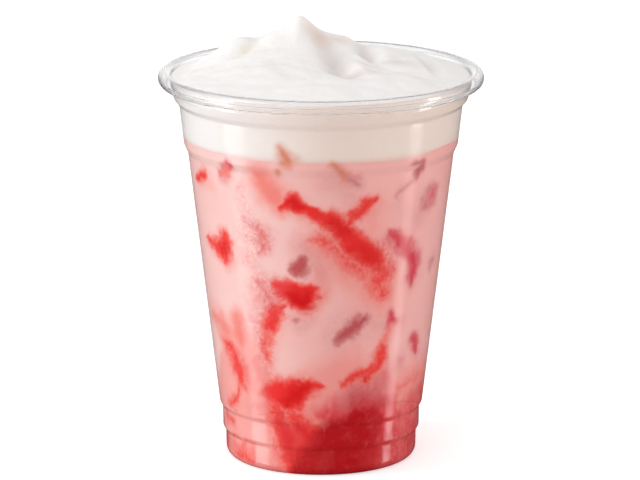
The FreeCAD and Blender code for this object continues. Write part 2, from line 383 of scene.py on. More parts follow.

# %% [markdown]
# The plastic bends light as it does, with an index of refraction set on the shader itself. For
# shadow rays and for scattered light the sheet is simply open, so that light gets to the drink
# without the render having to find its way through the bends. A faint waviness stands for the
# slightly uneven sheet. The stretched wall is hazier than the rim, and the foot a little less so.
# Where the sheet is seen edge-on, painted shade turns it grey for the dark outlines of its bends,
# strongly at the lip's upright sides, and the lip is a little white inside.

# %% Waviness and haze of the plastic
# heights in metres at which a change begins and is complete
STRETCHED, FOOT, LIP, MILKY_LIP = (0.114, 0.107), (0.022, 0.017), (0.1125, 0.1145), (0.1146, 0.1158)
plastic, tree, output = new_tree("clear_plastic_sheet")
where = objects_own(tree)
up = add(tree, "ShaderNodeSeparateXYZ", {0: where}).outputs["Z"]
ripple = noise(tree, where, 260.0, 3.0, roughness=0.6)
wall_haze = ramp(tree, up, *STRETCHED, 0.02, 0.24)
haze = maths(tree, "SUBTRACT", wall_haze, ramp(tree, up, *FOOT, 0, 0.06))
haze = maths(tree, "MULTIPLY_ADD", maths(tree, "SUBTRACT", ripple, 0.5), 0.06, haze)
wavy = add(tree, "ShaderNodeBump", {"Height": ripple, "Strength": 0.06, "Distance": 0.0004})
print("haze of the wall below", STRETCHED[0], "m")

# %% Painted shade where the plastic is seen edge-on
# how far the face is turned away, from 0 facing to 1 edge-on, and how level it lies
turned = add(tree, "ShaderNodeLayerWeight", {"Blend": 0.5}).outputs["Facing"]
normal = add(tree, "ShaderNodeNewGeometry").outputs["Normal"]
level = maths(tree, "ABSOLUTE", add(tree, "ShaderNodeSeparateXYZ", {0: normal}).outputs["Z"])
at_lip = ramp(tree, up, *LIP)
edge_from = maths(tree, "MULTIPLY_ADD", at_lip, -0.05, 0.91)
edge_grey = maths(tree, "MULTIPLY_ADD", at_lip, 0.3, 0.5)
edge = ramp(tree, turned, edge_from, 0.98, 0, edge_grey)
sides = maths(tree, "MULTIPLY", ramp(tree, turned, 0.45, 0.80), ramp(tree, level, 0.92, 0.50))
wall_grey = maths(tree, "MULTIPLY", edge, 0.3)
lip_grey = maths(tree, "SUBTRACT", maths(tree, "MAXIMUM", sides, edge), wall_grey)
# how much painted shade greys the plastic where it is seen edge-on
grey = maths(tree, "MULTIPLY_ADD", lip_grey, at_lip, wall_grey)
print("full grey of the lip above", LIP[1], "m")

# %% Clear plastic
# the clear colour, and the dark colour of the painted shade on faces seen edge-on
CLEAR, EDGE_PAINTED_SHADE = (0.985, 0.988, 0.99, 1), (0.05, 0.045, 0.055, 1)
sheet = add(
    tree,
    "ShaderNodeBsdfPrincipled",
    {
        "Base Color": blend(tree, grey, CLEAR, EDGE_PAINTED_SHADE),
        "Roughness": haze,
        "IOR": 1.49,
        "Transmission Weight": 1.0,
        "Normal": wavy.outputs[0],
    },
)
milky = add(tree, "ShaderNodeBsdfTranslucent", {"Color": (0.97, 0.97, 0.98, 1)})
milky_part = ramp(tree, up, *MILKY_LIP, 0, 0.11)
sheet = add(tree, "ShaderNodeMixShader", {0: milky_part, 1: sheet.outputs[0], 2: milky.outputs[0]})
clear = add(tree, "ShaderNodeBsdfTransparent", {"Color": (0.97, 0.97, 0.97, 1)})
ray = add(tree, "ShaderNodeLightPath").outputs
open_rays = maths(tree, "MAXIMUM", ray["Is Shadow Ray"], ray["Is Diffuse Ray"])
mixed = add(tree, "ShaderNodeMixShader", {0: open_rays, 1: sheet.outputs[0], 2: clear.outputs[0]})
tree.links.new(mixed.outputs[0], output.inputs["Surface"])
cup.data.materials.append(plastic)
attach(cup, "root")
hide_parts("cup")
print("cup finished")

# %% [markdown]
# ## How the layers meet
# Puree, milk and foam lie on each other with uneven borders, so flat discs wouldn't do, and
# sculpted ones wouldn't fit the wall. Each border is a height field instead: a level, plus
# low humps and hollows. A hump is a bell curve over a turned ellipse. The same humps are in
# the CAD model, so the layers sit where its solids do.

# %% Heights of the layers
# x, y, rise, length, width in mm, and the heading of the length in degrees
FOAM_HUMPS = [
    (-9, 4, 6.4, 11.5, 8, 10), (-6.0, 3.6, 5.7, 3.3, 2.8, 120), (-1.6, 5.5, 3.1, 4.4, 2.2, 155),
    (4.5, 8.8, 2.7, 7, 2.6, 168), (-26, 6, 4.7, 5.6, 7, 60), (-19, 3, -0.7, 6, 2.1, 110),
    (-12.5, 4.5, 1.5, 4.0, 3.4, 30), (-22.5, -1, -1.8, 3.6, 2.2, 30),
    (1, 0.5, -1.8, 4.5, 2.6, 150), (6.4, -10.5, -3.8, 9.0, 4.0, 118),
    (3.4, -1.6, 1.3, 4.5, 1.5, 15), (11.6, -11, 2.0, 7.5, 2.0, 118),
    (14.0, 1.8, -2.6, 6.0, 2.0, 118), (24.2, 3, 4.2, 7.4, 6.6, 90),
    (23.6, 1, -1.8, 4.2, 3.6, 75), (31.8, 0.5, -2.0, 6.0, 1.7, 105),
    (24.5, -10.5, -1.6, 6.5, 1.7, 8), (10.5, 7, 1.2, 5, 2.2, 150), (20, -22, 0.9, 10, 5, 20),
    (-18, -14, 1, 13, 7, 150), (4, 23, 2, 19, 7, 175), (-13, 17, -1.8, 10, 2.8, 20),
    (17, 22, -1.6, 8, 3, 150),
]
MILK_HUMPS = [
    (0, -38, 0.3, 20, 12, 0), (-34, -20, 0.6, 9, 9, 120), (34, -18, 1.2, 8, 8, 80),
    (24, -30, -0.7, 6, 6, 40), (10, 36, 1.3, 14, 10, 0), (-28, 24, -1.2, 10, 9, 130),
    (36, 16, -0.9, 8, 9, 60),
]
PUREE_HUMPS = [
    (17, -19, 6.5, 9, 7, 30), (-9, -26, 4, 7, 5, 0), (-24, 4, 3.2, 9, 6, 90),
    (3, -28, -2.4, 5, 6, 0), (4, 26, 4.6, 9, 6, 10), (24, 12, -2.6, 8, 6, 60),
    (-14, 20, -2.8, 7, 6, 130),
]
FOAM_EDGE, FOAM_RADIUS = 117.3, 44.7
MILK_LEVEL, PUREE_LEVEL = 98.8, 16.8
DOME, DOME_POWER = 5.0, 2.2
HUMPS_FADE = 9.0     # over how many mm the humps die out at the edge of the foam
INTO_WALL = 0.1      # how far each layer's skin reaches into the sheet


def humps(x, y, rows):
    """The sum of rise x exp(-(along^2 + across^2) / 2), where along and across are the
    distances from the hump's middle on its own two axes, divided by its length and width."""
    total = np.zeros_like(x)
    for mx, my, rise, length, width, turned in rows:
        c, s = np.cos(np.radians(turned)), np.sin(np.radians(turned))
        along = ((x - mx) * c + (y - my) * s) / length
        across = ((y - my) * c - (x - mx) * s) / width
        total = total + rise * np.exp(-(along**2 + across**2) / 2)
    return total


def foam_top(r, a):
    """Edge level, plus a low dome, plus the humps, which die out near the wall."""
    x, y = r * np.sin(a), -r * np.cos(a)
    dome = DOME * (1 - np.minimum(1, r / FOAM_RADIUS) ** DOME_POWER)
    return FOAM_EDGE + dome + ease((FOAM_RADIUS - r) / HUMPS_FADE) * humps(x, y, FOAM_HUMPS)


def milk_top(r, a):
    """The level between milk and foam, with its humps."""
    return MILK_LEVEL + humps(r * np.sin(a), -r * np.cos(a), MILK_HUMPS)


def puree_top(r, a):
    """The level between puree and milk, with its humps."""
    return PUREE_LEVEL + humps(r * np.sin(a), -r * np.cos(a), PUREE_HUMPS)


drink_line = line - (WALL / 2 - INTO_WALL) * out_of_sheet
drink_line[0, 0] = 0
drink_r, drink_z = drink_line.T
# the part of the line that climbs the wall, from above the foot to below the rolled rim
above_foot = (drink_z > 5) & (drink_z < 118) & (drink_r < 45) & (heading > 0.3)


def drink_radius(z):
    """Where the drink's skin meets the wall: 0.1 mm into the sheet, at each height."""
    return np.interp(z, drink_z[above_foot], drink_r[above_foot])


print("drink radius at 20, 60 and 110 mm:", drink_radius(np.array([20, 60, 110])).round(2))

# %% [markdown]
# ## The stains on the wall
# Where puree was poured down the inside of the cup it left smears, and pieces of ice close
# to the wall show as mauve shadows. They could be brushed on in Texture Paint, but numbers
# worked out for the points of the mesh need no picture and are the same in each run. Each
# smear is a path on the wall with a half width at each point. The paint at a point of the
# wall is how far inside the nearest part of the path it lies, eased over a soft border. One
# set of paths is used by all three layers, so a smear may cross from one to the next.


# %% Paint for one smear
def smear(angle, height, radius, path, soft):
    """From 0 outside to 1 inside. The distance on the wall from each stretch of the path is
    measured with degrees turned into mm by the point's own radius; the paint is
    ease((half width - distance) / border + 1/2), and the strongest stretch counts. The
    border is soft x (0.8 + 0.6 half width), between 1 and 2.8 times soft."""
    per_degree = np.radians(1) * radius
    path = np.array(path, float)
    if len(path) == 1:
        path = np.repeat(path, 2, axis=0)
    paint_here = np.zeros_like(height)
    for (a0, z0, w0), (a1, z1, w1) in zip(path[:-1], path[1:]):
        away = (angle - a0 + 180) % 360 - 180
        du, dv = (a1 - a0) * per_degree, z1 - z0
        pu, pv = away * per_degree, height - z0
        t = np.clip((pu * du + pv * dv) / np.maximum(du * du + dv * dv, 1e-6), 0, 1)
        distance = np.hypot(pu - t * du, pv - t * dv)
        half = w0 + (w1 - w0) * t
        border = soft * np.clip(0.8 + 0.6 * half, 1, 2.8)
        paint_here = np.maximum(paint_here, ease((half - distance) / border + 0.5))
    return paint_here


print("smear helper ready")

# %% The smears
# kind, strength, softness of the border in mm, then azimuth in degrees, height and half width in mm
SMEARS = [
    # the long smear from upper left to lower right, and its arm
    ("red", 1.0, 2.4, [(-17.0, 84.8, 0.9), (-14.5, 85.9, 1.7), (-12, 86.8, 2.6),
        (-9, 85.2, 2.1), (-5, 84.4, 1.5), (-1, 82.8, 1.7)]),
    ("red", 1.0, 3.0, [(-1, 82.8, 1.7), (3, 81.4, 2.3), (8, 79.4, 2.9), (12, 76.6, 3.2),
        (16, 73.2, 3.6), (20, 71, 3.8), (24.5, 68.8, 3.6)]),
    ("red", 0.8, 5.0, [(24.5, 68.8, 3.4), (27.5, 65, 3.4), (29.5, 61, 3.0), (31, 57.5, 2.0)]),
    ("deep", 0.9, 2.6, [(-13.5, 86.4, 0.8), (-11, 86.2, 1.4), (-7, 84.8, 0.6)]),
    ("deep", 0.7, 2.8, [(5.5, 79.8, 0.8), (9, 78.2, 1.8), (12.5, 77.2, 1.2)]),
    ("deep", 0.62, 3.4, [(16, 72.4, 0.8), (20, 70.4, 1.8), (24.5, 68.6, 1.9), (27.5, 65.4, 0.8)]),
    ("red", 0.85, 2.6, [(11, 79.6, 1.2), (14, 81.4, 1.0), (17.5, 84.2, 1.5), (21, 85.8, 1.8),
        (25.0, 87.4, 0.8)]),
    ("salmon", 0.6, 5.0, [(17, 84, 2.5), (24, 84, 2.5), (24, 78, 2.5)]),
    ("salmon", 0.85, 6.0, [(-3, 73, 2.5), (4, 71.5, 4.5), (12, 67.5, 4.5), (20, 63.5, 4.0),
        (30, 57, 4.5)]),
    ("red", 0.62, 3.4, [(-5, 75.4, 0.6), (-1, 76.0, 1.4), (4, 74.6, 2.4), (9, 71, 3.0),
        (14, 67.2, 3.0), (20, 64.0, 2.6)]),
    ("red", 0.5, 3.0, [(22, 60.5, 1.2), (26, 58.0, 1.6), (31, 56, 1.4)]),
    ("salmon", 0.75, 5.0, [(0, 66, 2), (1.5, 62, 2.6), (-1, 58, 1.5)]),
    ("speckle", 0.55, 4.0, [(30, 72, 2.0), (33, 68, 2.4), (35, 64.5, 1.6)]),
    # the left side, top to bottom
    ("speckle", 0.95, 3.0, [(-30.0, 78.4, 1.2), (-28, 75.8, 2.9), (-27.6, 73.0, 2.0),
        (-28.6, 70.3, 0.6)]),
    ("red", 0.82, 3.4, [(-67, 70.0, 0.2), (-61, 69.4, 1.6), (-55, 68.6, 3.2)]),
    ("red", 0.84, 3.2, [(-51.6, 65.0, 1.0), (-52, 68.6, 3.3), (-50, 71.8, 2.4),
        (-48.4, 74.2, 0.7)]),
    ("deep", 0.7, 2.6, [(-54.0, 69.2, 0.8), (-50.4, 69.2, 1.6)]),
    ("red", 0.74, 2.4, [(-71, 88.8, 0.8), (-66, 90.2, 1.5), (-61.8, 91.4, 1.8)]),
    ("crimson", 0.8, 2.2, [(-48.6, 93.8, 1.0), (-45.8, 95.0, 1.8), (-42.2, 96.8, 0.9)]),
    ("red", 0.45, 2.2, [(-47.6, 94.2, 1.0), (-45.5, 95.2, 1.2)]),
    ("salmon", 1.25, 4.0, [(-29.0, 95.0, 1.8), (-25.5, 93.5, 3.4), (-22, 89.5, 3.2),
        (-20.0, 86.5, 2.0)]),
    ("salmon", 0.35, 3.0, [(-56, 87.2, 1.0)]),
    ("speckle", 0.95, 3.0, [(-32.5, 61.0, 1.2), (-28, 59.6, 2.4), (-22, 58.6, 2.8)]),
    ("red", 1.0, 2.2, [(-22.0, 60.2, 1.2), (-16, 58.4, 3.2), (-10, 57.2, 3.7),
        (-5, 58.6, 2.2), (-1.5, 59.8, 0.7)]),
    ("deep", 1.1, 2.4, [(-17, 57.6, 0.9), (-13, 56.9, 2.0), (-8.5, 56.0, 2.3),
        (-5.5, 57.4, 1.0)]),
    ("speckle", 0.9, 3.5, [(-27, 57.5, 2.2), (-24, 53.5, 2.4)]),
    ("red", 0.85, 3.0, [(-18.8, 53.2, 0.8), (-21, 51.4, 2.0), (-25, 49.6, 2.5),
        (-27, 47.2, 2.2)]),
    ("red", 0.58, 3.4, [(-27, 47.2, 2.2), (-28.4, 43.5, 1.9), (-29.0, 40, 1.4),
        (-28.8, 36.8, 0.9)]),
    ("red", 0.72, 3.6, [(-60, 39.6, 1.0), (-56, 38.4, 2.1), (-53, 36.0, 2.8),
        (-50.5, 32.6, 3.2), (-48.8, 29.6, 3.0), (-48.2, 27.0, 1.8)]),
    ("salmon", 0.9, 3.4, [(-71, 46.2, 2.2), (-64, 45.0, 3.2), (-59, 43.0, 2.6)]),
    ("salmon", 0.9, 3.0, [(-47, 48.0, 2.0), (-46, 43.6, 2.4), (-46, 41.2, 1.2)]),
    # the red cloud at the front, low on the left, and what hangs below it
    ("red", 0.95, 3.0, [(-29.5, 26.0, 2.0), (-25, 26.2, 3.6), (-17, 25.8, 5.0),
        (-11, 27.6, 3.8), (-5, 28.8, 2.3), (-1.5, 29.0, 0.9)]),
    ("deep", 1.0, 3.0, [(-19, 23.0, 1.0), (-16, 25.5, 1.8), (-11, 27.6, 2.0), (-6, 28.6, 0.7)]),
    ("deep", 0.8, 3.0, [(-22, 17.0, 1.0), (-19, 12.0, 1.8), (-17, 6.0, 1.5)]),
    ("deep", 0.85, 2.6, [(-12, 15.5, 1.2), (-7, 12.0, 2.0), (-4, 14, 1.0)]),
    ("deep", 0.7, 2.6, [(-13, 7.0, 1.6), (-6, 4.0, 1.4)]),
    ("red", 0.84, 4.0, [(-25, 21, 3.0), (-22, 15, 3.6), (-19, 9, 3.6), (-18, 3, 3.6)]),
    ("red", 0.92, 4.0, [(-14, 19, 2.5), (-9, 13, 5.0), (-10, 5, 5.0)]),
    ("speckle", 0.5, 2.6, [(-14, 5.0, 1.6), (-8, 4.4, 1.4), (2, 5.6, 1.6), (6, 5.0, 0.8)]),
    ("speckle", 0.45, 2.6, [(26, 4.4, 1.4), (36, 5.0, 1.6)]),
    ("speckle", 0.5, 3.0, [(-24, 18, 2.5), (-12, 12, 3.5), (-20, 6, 2.5)]),
    # a fine grain down the left
    ("speckle", 0.46, 4.0, [(-37, 90, 1.4), (-35, 66, 2.4)]),
    ("speckle", 0.56, 4.0, [(-34, 58, 2.4), (-35, 20, 2.6)]),
    # the right side, top to bottom
    ("crimson", 0.95, 3.0, [(31.5, 75.6, 0.8), (35, 74.3, 1.6), (39, 72.2, 2.3),
        (43, 70.2, 2.3)]),
    ("crimson", 0.95, 3.2, [(43, 70.0, 2.0), (46.5, 68.0, 2.7), (48.9, 65.4, 3.2),
        (49.4, 62.4, 2.6), (48.8, 59.4, 1.0)]),
    ("speckle", 0.7, 3.0, [(33, 75, 1.4), (39, 73.5, 1.8), (45, 70.5, 1.6)]),
    ("mauve_ice_shadow", 1.0, 4.2, [(54.5, 83.4, 2.2), (57, 84.6, 2.6), (60, 85.8, 1.2)]),
    ("mauve_ice_shadow", 0.38, 6.0, [(49, 79.6, 2.5), (53, 82.6, 3.5)]),
    ("crimson", 0.62, 2.0, [(55.5, 84.0, 1.5), (59, 85.4, 1.7)]),
    ("mauve_ice_shadow", 0.6, 3.4, [(64.5, 63.0, 1.4), (67, 64.2, 1.4)]),
    ("mauve_ice_shadow", 0.75, 2.0, [(41, 97.3, 0.3), (46.5, 96.8, 0.5), (48, 95.1, 0.9),
        (45.5, 93.6, 1.5)]),
    ("mauve_ice_shadow", 0.55, 2.6, [(45.5, 93.6, 1.4), (42, 91.6, 1.0), (38.5, 89.4, 0.8),
        (35, 87.4, 0.4)]),
    ("crimson", 1.0, 2.6, [(37.4, 50.4, 1.2), (38.8, 48.4, 2.0), (37.6, 46.0, 1.3)]),
    ("crimson", 0.5, 2.4, [(39, 48.2, 0.8), (42, 48.6, 1.0)]),
    ("red", 0.55, 3.4, [(38, 46.2, 0.8), (35.6, 43, 1.2), (33.8, 40.6, 1.8)]),
    ("red", 0.82, 3.4, [(33.8, 40.6, 1.4), (32, 36.6, 2.0), (29.6, 34.0, 1.9),
        (26, 31.6, 1.6), (23.5, 29.8, 1.2)]),
    ("red", 0.80, 2.8, [(12, 29.6, 0.8), (18, 31.2, 1.6), (24, 33.2, 1.5), (29, 35.0, 1.2)]),
    ("crimson", 0.5, 5.0, [(15, 24.5, 2.2), (24, 28.0, 3.0), (37, 26.4, 2.8)]),
    ("red", 0.48, 4.5, [(46, 26, 2.0), (60, 27, 2.8), (74, 27, 1.8)]),
    ("crimson", 0.95, 3.4, [(56.0, 40.6, 1.8), (58.4, 38.6, 1.6), (61.0, 36.4, 0.8)]),
    ("crimson", 0.45, 5.0, [(40, 33.0, 1.8), (44, 34.8, 2.4), (48, 35.4, 1.2)]),
    # painted shadows of ice close to the wall
    ("mauve_ice_shadow", 1.0, 2.6, [(-15.6, 65.1, 0.5), (-12.5, 65.6, 1.6), (-9.4, 66.6, 2.3),
        (-8.2, 69.4, 1.2)]),
    ("mauve_ice_shadow", 0.36, 6.0, [(-8, 73.0, 2.2), (-4, 68.4, 3.2), (-1, 65.0, 2.5)]),
    ("mauve_ice_shadow", 0.75, 2.8, [(-12, 50.1, 1.2)]),
    ("mauve_ice_shadow", 0.30, 4.0, [(-10, 47.6, 2.0), (-6, 49.6, 2.0)]),
    ("mauve_ice_shadow", 1.0, 2.6, [(9.5, 43.8, 1.5), (13, 45.8, 2.5), (18, 48.4, 2.5), (21.5, 49.6, 1.3)]),
    ("mauve_ice_shadow", 0.34, 6.0, [(10, 45.6, 3.5), (22, 49.0, 3.5), (32, 46.4, 3.0)]),
    ("mauve_ice_shadow", 0.28, 6.0, [(40, 84, 3.5), (45, 78, 3.0)]),
    ("mauve_ice_shadow", 0.6, 2.8, [(11.5, 94.4, 0.9), (14, 92.7, 1.4), (16.5, 91.9, 1.3)]),
    ("mauve_ice_shadow", 0.34, 6.0, [(4, 94.0, 2.4), (12, 90.4, 2.4)]),
    ("mauve_ice_shadow", 0.34, 3.0, [(-35, 80.0, 0.8), (-31, 79.2, 1.0)]),
    ("mauve_ice_shadow", 0.38, 3.4, [(-46.5, 92.2, 1.3)]),
    # darker crumbs of fruit at the milk's edge
    ("brown", 0.95, 2.4, [(5, 98.6, 0.7), (9, 95.9, 1.2), (12, 94.2, 1.3)]),
    ("brown", 1.0, 2.6, [(-16.2, 103.0, 0.7), (-14.6, 101.2, 1.7), (-12.4, 100.2, 1.5)]),
    ("brown", 0.8, 2.4, [(-14.5, 99.4, 1.4), (-13, 98.6, 1.0)]),
    ("brown", 0.9, 2.0, [(-17.4, 96.4, 0.7)]),
    # patches low on the left
    ("red", 0.60, 3.4, [(-72, 14.6, 1.4), (-66, 13.0, 1.8), (-61.5, 12.1, 1.0)]),
    ("red", 0.40, 2.8, [(-59, 17.8, 0.9), (-56, 17.5, 0.9)]),
    ("red", 0.66, 2.8, [(-74, 4.4, 1.4), (-60, 4.2, 1.9), (-52, 3.6, 1.6), (-45, 2.8, 0.8)]),
    ("crimson", 0.6, 2.0, [(-74, 1.2, 0.8), (-48, 1.0, 0.8)]),
    ("red", 0.5, 2.6, [(-72, 8.6, 0.7), (-44, 8.4, 0.6)]),
    ("red", 0.66, 3.4, [(-61, 19.6, 1.4), (-57, 20.6, 1.8), (-52, 25, 1.0)]),
    ("red", 0.30, 3.0, [(-56, 9, 1.2), (-48, 8, 1.2)]),
]
print(len(SMEARS), "smears")

# %% [markdown]
# Round the back nothing is known, so the same kinds of smear go on there, from a seeded
# generator: streaks that lean one way or the other, and now and then the shadow of ice.

# %% Smears round the back
BACK_SMEARS, BACK_FROM, BACK_TO = 21, 99, 261    # how many, between which azimuths
BACK_LOW, BACK_HIGH = 30, 92                     # and between which heights in mm
BACK_STRENGTH = {"red": 0.9, "crimson": 0.8, "mauve_ice_shadow": 0.6, "salmon": 0.8}
chance = np.random.default_rng(2105)
for k in range(BACK_SMEARS):
    middle = BACK_FROM + (BACK_TO - BACK_FROM) / BACK_SMEARS * (k + chance.uniform(0.1, 0.9))
    step = 8 * k % BACK_SMEARS
    level = BACK_LOW + (BACK_HIGH - BACK_LOW) * (step + chance.uniform(0.1, 0.9)) / BACK_SMEARS
    lean = chance.choice([-1, 1]) * chance.uniform(0.35, 1.0)
    reach, wide = chance.uniform(6, 16), chance.uniform(1.5, 4.4)
    kind = ["red", "red", "crimson", "mauve_ice_shadow", "salmon"][k % 5]
    bow = chance.uniform(-2.5, 2.5)
    trail = []    # five points, bowed, and narrower towards the ends
    for t in (-1, -0.5, 0, 0.5, 1):
        height_here = level + lean * reach * t * 0.8 + bow * (1 - t * t)
        half_width = wide * (1 - 0.7 * abs(t)) * chance.uniform(0.6, 1.2)
        trail.append((middle + reach * t, height_here, half_width))
    SMEARS.append((kind, BACK_STRENGTH[kind], chance.uniform(2, 4), trail))
print(len(SMEARS), "smears all round")

# %% [markdown]
# Low down the puree itself shows. Its dark edge rises and falls round the cup, as a table
# of azimuths and heights says. Over it lie a red cloud, where puree and milk have begun to
# mix, and a paler, salmon mist.

# %% How far each layer of paint reaches
# each row: azimuth in degrees, and what holds there
EDGE = [
    (-180, 17), (-150, 21), (-120, 14), (-98, 4), (-75, -6), (-50, -8), (-34, -6), (-22, -2),
    (-12, 8), (-5, 13.5), (0, 16.5), (10, 19), (20, 22), (30, 22.5), (35, 21), (40, 17),
    (50, 13), (75, 12), (98, 14), (130, 20), (160, 18), (180, 17),
]
CLOUD_TOP = [
    (-180, 22), (-150, 26), (-120, 20), (-90, 14), (-60, 2), (-38, 0), (-30, 2), (-20, 14),
    (-10, 20), (0, 23), (10, 26), (18, 30), (28, 34), (36, 33.5), (42, 28), (50, 21),
    (60, 25), (75, 27), (110, 20), (150, 26), (180, 22),
]
MIST_TOP = [
    (-180, 30), (-120, 36), (-75, 26), (-60, 45), (-45, 49), (-36, 40), (-25, 30), (-10, 34),
    (0, 37), (20, 40), (40, 32), (60, 32), (75, 33), (120, 30), (180, 30),
]
PUREE_AMOUNT = [
    (-100, 1), (24, 1), (32, 0.8), (40, 0.42), (50, 0.2), (62, 0.3), (78, 0.3), (110, 1),
]
SWELL_AMOUNT = [(6, 0), (17, 1), (38, 1), (45, 0)]
CLOUD_AMOUNT = [(-60, 0.7), (-20, 1), (40, 1), (55, 0.72), (90, 0.8), (180, 1)]
# painted light: how deep the milk's pink is round the cup, 0 where it is painted paler on the lit
# left
ROSE_OUTSIDE_PAINTED_LIGHT = [
    (-180, 0.6), (-90, 0.1), (-45, 0.0), (-10, 0.55), (10, 0.9), (80, 1.0), (120, 0.8), (180, 0.6),
]
PAINTS = ("red", "deep", "salmon", "crimson", "mauve_ice_shadow", "brown", "speckle")
BORDER = {"puree": 7, "swell": 12, "cloud": 8, "mist": 10}    # widths in mm
SWELL, SWELL_RISE = 0.58, 6.5    # strength, and mm above the puree's edge
HALO, HALO_SOFT = 0.46, 3.4      # strength, and softness of the border in mm
print("puree's edge from", min(row[1] for row in EDGE), "to", max(row[1] for row in EDGE), "mm")


# %% All the paint on the wall
def round_cup(azimuth, table):
    """The table's value at an azimuth, in straight steps and closed round the cup."""
    at, values = np.array(table, float).T
    return np.interp(azimuth, at, values, period=360)


def up_to(top, level, border):
    """1 well below the top, 0 well above it, and half at it."""
    return ease((top - level) / border + 0.5)


def wander(turn, height, seed):
    """Up to 1.4 mm of noise: slow for the course of a border, faster for its raggedness."""
    slow = soft_noise(turn * 60, height / 4.0, seed, 60)
    return 0.9 * slow + 0.5 * soft_noise(turn * 150, height / 1.6, seed + 1, 150)


def wall_paint(angle, height, radius):
    """Every kind of paint at the points of the wall. The points are first moved by noise, so
    that no border is as smooth as its path. Red and crimson smears have a fainter halo, 0.8
    mm wider, a degree further on and a millimetre lower. The strongest of each kind counts.
    The puree is the stronger of what its edge and its swell give."""
    turn = (angle / 360) % 1
    moved = angle + wander(turn, height, 11) / (np.radians(1) * np.maximum(radius, 20))
    level = height + wander(turn, height, 13)
    layers = {name: np.zeros_like(height) for name in PAINTS}
    for kind, strength, soft, trail in SMEARS:
        full = [(az, z, 0.95 * half + 0.25) for az, z, half in trail]
        amount = strength * smear(moved, level, radius, full, soft)
        layers[kind] = np.maximum(layers[kind], amount)
        if kind in ("red", "crimson"):
            below = [(az + 1.0, z - 1.0, half + 0.8) for az, z, half in trail]
            amount = HALO * strength * smear(moved, level, radius, below, HALO_SOFT)
            layers[kind] = np.maximum(layers[kind], amount)
    edge = round_cup(moved, EDGE)
    swell = up_to(edge + SWELL_RISE, level, BORDER["swell"])
    swell = SWELL * round_cup(moved, SWELL_AMOUNT) * swell
    puree = np.maximum(up_to(edge, level, BORDER["puree"]), swell)
    layers["puree"] = round_cup(moved, PUREE_AMOUNT) * puree
    cloud = up_to(round_cup(moved, CLOUD_TOP), level, BORDER["cloud"])
    layers["cloud"] = cloud * round_cup(moved, CLOUD_AMOUNT)
    layers["mist"] = up_to(round_cup(moved, MIST_TOP), level, BORDER["mist"])
    # painted light: the milk's pink is paler towards the lit left
    layers["rose_outside_painted_light"] = round_cup(moved, ROSE_OUTSIDE_PAINTED_LIGHT)
    return layers


print("paint defined")

# %% [markdown]
# ## The milk
# The milk is opaque, so it needs only a skin. Its rings are about half a millimetre apart
# along the wall, fine enough for the paint, and coarse where the puree and the foam cover
# it. One ring lies close to each corner, or smooth shading would round it off. The levels
# at the wall are taken at about its radius there, 30.6 mm for the puree.

# %% The milk's skin
ROUND = 440
PUREE_RADIUS = 30.6
a = azimuths(ROUND)
all_round = np.ones(ROUND)
out_to_wall = np.linspace(0, 1, 9)
bottom_r = np.outer(out_to_wall, all_round) * drink_radius(puree_top(PUREE_RADIUS, a))
bottom_z = puree_top(bottom_r, a)
low, high = bottom_z[-1], milk_top(drink_radius(np.full(ROUND, MILK_LEVEL)), a)
up_the_wall = np.concatenate([[0.001], np.linspace(0, 1, 160)[1:-1], [0.999]])[:, None]
side_z = low + (high - low) * up_the_wall
side_r = drink_radius(side_z)
top_r = np.outer(out_to_wall[::-1], all_round) * side_r[-1]
top_z = milk_top(top_r, a)
milk = ring_skin(
    "strawberry_milk_body",
    np.concatenate([bottom_r, side_r, top_r]),
    np.concatenate([bottom_z, side_z, top_z]),
    ROUND,
)

# %% [markdown]
# The finish of milk and puree is one recipe: the pale pink of the milk, paler towards the lit left
# as painted light, and over it the paint in order from faint to dark. A plain ramp would leave each
# border smooth, so fine noise breaks it up until it looks like pulp. The drink wets the plastic, so
# it has almost no gloss of its own.

# %% The drink's finish
# the paler pink is painted light for the lit left; the deeper pink is the milk's own
PINK_PAINTED_LIGHT, PINK_RIGHT = linear(250, 211, 206), linear(251, 185, 179)
SALMON, MIST, CLOUD = linear(246, 122, 110), linear(247, 140, 132), linear(228, 74, 80)
DEEP, PUREE = linear(218, 18, 24), linear(186, 15, 23)
BROWN, SPECKLE = linear(222, 118, 80), linear(228, 80, 82)
# for each kind of smear: from which amount to which the colour comes in, and the colour
TONES = {
    # painted shadows of ice: a pale mauve, then a darker one
    "mauve_ice_shadow": [
        (0.05, 0.5, linear(226, 152, 149)),
        (0.35, 0.9, linear(198, 88, 91)),
    ],
    "crimson": [
        (0.05, 0.45, linear(236, 152, 152)),
        (0.3, 0.65, linear(228, 112, 118)),
        (0.55, 0.9, linear(218, 66, 82)),
    ],
    "red": [
        (0.04, 0.4, linear(247, 154, 146)),
        (0.24, 0.6, linear(245, 98, 92)),
        (0.5, 0.85, linear(242, 52, 48)),
    ],
}


